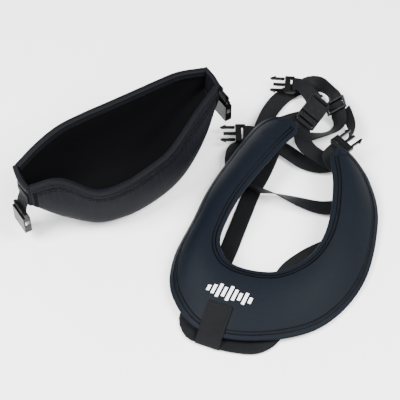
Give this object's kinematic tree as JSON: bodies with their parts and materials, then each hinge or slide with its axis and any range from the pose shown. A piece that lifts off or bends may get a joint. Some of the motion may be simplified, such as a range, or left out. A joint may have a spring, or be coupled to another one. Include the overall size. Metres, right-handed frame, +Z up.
{
  "type": "instrument holster harness",
  "caption": "Padded neck yoke with webbing straps and side-release clips, beside a crescent pouch with sockets that carries a wind instrument.",
  "frame": {"origin": "centre of the bounding box's bottom face, on the surface that the harness and pouch lie on", "axes": "+Z up from that surface, +X from the pouch towards the yoke, +Y from the yoke's back of the neck towards its tips"},
  "size_m": [0.5166, 0.4944, 0.137],
  "materials": {
    "neoprene_navy": "knit-faced neoprene with a soft sheen",
    "neoprene_charcoal": "knit-faced neoprene, matt",
    "foam": "closed-cell foam",
    "lining": "soft knit",
    "pouch_lining": "brushed knit",
    "binding": "folded knit tape",
    "webbing_black": "ribbed polypropylene webbing",
    "buckle_black": "moulded acetal",
    "print_white": "screen print"
  },
  "bodies": {
    "harness": {"yoke_cover": "neoprene_navy", "yoke_neck_hem": "neoprene_navy", "yoke_outer_hem": "neoprene_navy", "yoke_core": "foam", "yoke_lining": "lining", "back_loop_patch": "webbing_black", "yoke_print": "print_white", "chest_clip_plate": "buckle_black", "chest_socket": "buckle_black", "strap_adjuster": "buckle_black", "top_strap": "webbing_black", "back_strap": "webbing_black", "left_clip_strap": "webbing_black", "top_clip_strap": "webbing_black", "right_clip_strap": "webbing_black", "chest_strap_left": "webbing_black", "chest_strap_right": "webbing_black", "cross_strap": "webbing_black", "strap_tail": "webbing_black"},
    "pouch": {"pouch_front": "neoprene_charcoal", "lining_front": "pouch_lining", "pouch_base": "neoprene_charcoal", "lining_base": "pouch_lining", "pouch_back": "neoprene_charcoal", "lining_back": "pouch_lining", "pouch_end_left": "neoprene_charcoal", "pouch_end_right": "neoprene_charcoal", "rim_binding_front": "binding", "rim_binding_back": "binding", "pouch_left_tab": "webbing_black", "pouch_right_tab": "webbing_black", "pouch_back_tab": "webbing_black"},
    "chest_clip_arm_left": {"chest_clip_arm_left": "buckle_black"},
    "chest_clip_arm_right": {"chest_clip_arm_right": "buckle_black"},
    "left_clip": {"left_clip_plate": "buckle_black"},
    "left_clip_arm_left": {"left_clip_arm_left": "buckle_black"},
    "left_clip_arm_right": {"left_clip_arm_right": "buckle_black"},
    "top_clip": {"top_clip_plate": "buckle_black"},
    "top_clip_arm_left": {"top_clip_arm_left": "buckle_black"},
    "top_clip_arm_right": {"top_clip_arm_right": "buckle_black"},
    "right_clip": {"right_clip_plate": "buckle_black"},
    "right_clip_arm_left": {"right_clip_arm_left": "buckle_black"},
    "right_clip_arm_right": {"right_clip_arm_right": "buckle_black"},
    "pouch_left_socket": {"pouch_left_socket": "buckle_black"},
    "pouch_right_socket": {"pouch_right_socket": "buckle_black"},
    "pouch_back_socket": {"pouch_back_socket": "buckle_black"}
  },
  "joints": [
    {"name": "pouch_lift", "type": "slide", "parent": "harness", "child": "pouch", "axis": [0, 0, 1], "range_m": [0, 0.3]},
    {"name": "chest_clip_arm_left_squeeze", "type": "hinge", "parent": "harness", "child": "chest_clip_arm_left", "pos_m": [0.15648, 0.14395, 0.0474], "axis": [-0.3596, 0.2221, -0.9063], "range_deg": [0, 8], "stiffness_Nm_per_rad": 0.4},
    {"name": "chest_clip_arm_right_squeeze", "type": "hinge", "parent": "harness", "child": "chest_clip_arm_right", "pos_m": [0.17514, 0.13242, 0.03717], "axis": [0.3596, -0.2221, 0.9063], "range_deg": [0, 8], "stiffness_Nm_per_rad": 0.4},
    {"name": "left_clip_swing", "type": "hinge", "parent": "harness", "child": "left_clip", "pos_m": [0.07093, 0.12881, 0.01429], "axis": [-0.0175, 0.9998, 0], "range_deg": [-6, 50]},
    {"name": "left_clip_arm_left_squeeze", "type": "hinge", "parent": "left_clip", "child": "left_clip_arm_left", "pos_m": [0.05425, 0.11641, 0.01429], "axis": [0, 0, -1], "range_deg": [0, 8], "stiffness_Nm_per_rad": 0.4},
    {"name": "left_clip_arm_right_squeeze", "type": "hinge", "parent": "left_clip", "child": "left_clip_arm_right", "pos_m": [0.05382, 0.14061, 0.01429], "axis": [0, 0, 1], "range_deg": [0, 8], "stiffness_Nm_per_rad": 0.4},
    {"name": "top_clip_swing", "type": "hinge", "parent": "harness", "child": "top_clip", "pos_m": [0.14893, 0.22381, 0.01829], "axis": [0.0698, 0.9976, 0], "range_deg": [-8, 60]},
    {"name": "top_clip_arm_left_squeeze", "type": "hinge", "parent": "top_clip", "child": "top_clip_arm_left", "pos_m": [0.13123, 0.21291, 0.01829], "axis": [0, 0, -1], "range_deg": [0, 8], "stiffness_Nm_per_rad": 0.4},
    {"name": "top_clip_arm_right_squeeze", "type": "hinge", "parent": "top_clip", "child": "top_clip_arm_right", "pos_m": [0.13292, 0.23705, 0.01829], "axis": [0, 0, 1], "range_deg": [0, 8], "stiffness_Nm_per_rad": 0.4},
    {"name": "right_clip_swing", "type": "hinge", "parent": "harness", "child": "right_clip", "pos_m": [0.20493, 0.08381, 0.03529], "axis": [0.6428, -0.766, 0], "range_deg": [-20, 12]},
    {"name": "right_clip_arm_left_squeeze", "type": "hinge", "parent": "right_clip", "child": "right_clip_arm_left", "pos_m": [0.2101, 0.10394, 0.03529], "axis": [0, 0, -1], "range_deg": [0, 8], "stiffness_Nm_per_rad": 0.4},
    {"name": "right_clip_arm_right_squeeze", "type": "hinge", "parent": "right_clip", "child": "right_clip_arm_right", "pos_m": [0.22566, 0.0854, 0.03529], "axis": [0, 0, 1], "range_deg": [0, 8], "stiffness_Nm_per_rad": 0.4},
    {"name": "pouch_left_socket_swing", "type": "hinge", "parent": "pouch", "child": "pouch_left_socket", "pos_m": [-0.24491, -0.04667, 0.06029], "axis": [-0.5446, 0.8387, 0], "range_deg": [-2, 85]},
    {"name": "pouch_right_socket_swing", "type": "hinge", "parent": "pouch", "child": "pouch_right_socket", "pos_m": [0.03567, 0.13673, 0.08829], "axis": [0.5446, -0.8387, 0], "range_deg": [-2, 85]},
    {"name": "pouch_back_socket_swing", "type": "hinge", "parent": "pouch", "child": "pouch_back_socket", "pos_m": [-0.13111, 0.08599, 0.05196], "axis": [0.8387, 0.5446, 0], "range_deg": [-2, 85]}
  ]
}
